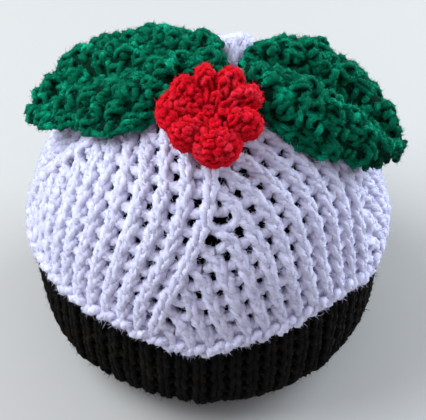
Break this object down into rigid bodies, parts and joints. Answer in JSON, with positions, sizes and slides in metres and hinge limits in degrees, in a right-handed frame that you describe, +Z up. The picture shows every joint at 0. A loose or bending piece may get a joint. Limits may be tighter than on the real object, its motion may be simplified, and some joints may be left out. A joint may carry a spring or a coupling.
{
  "type": "knitted christmas pudding",
  "caption": "Stuffed knitted christmas pudding: a dark ribbed ball, a white knitted icing cap, holly leaves and a gathered red berry.",
  "frame": {"origin": "centre of the flat underside that the pudding stands on", "axes": "+Z up through the crown, -Y the front with the berry, leaves spread along X"},
  "size_m": [0.0809, 0.0809, 0.0769],
  "materials": {
    "dark_yarn": "fuzzy near-black brown knit",
    "white_yarn": "soft white knit with a faint lilac cast",
    "green_yarn": "fuzzy emerald knit",
    "red_yarn": "gathered bright red knit"
  },
  "bodies": {
    "root": {"pudding_body": "dark_yarn", "icing_cap": "white_yarn", "leaf_left": "green_yarn", "leaf_right": "green_yarn", "berry": "red_yarn"}
  },
  "joints": []
}
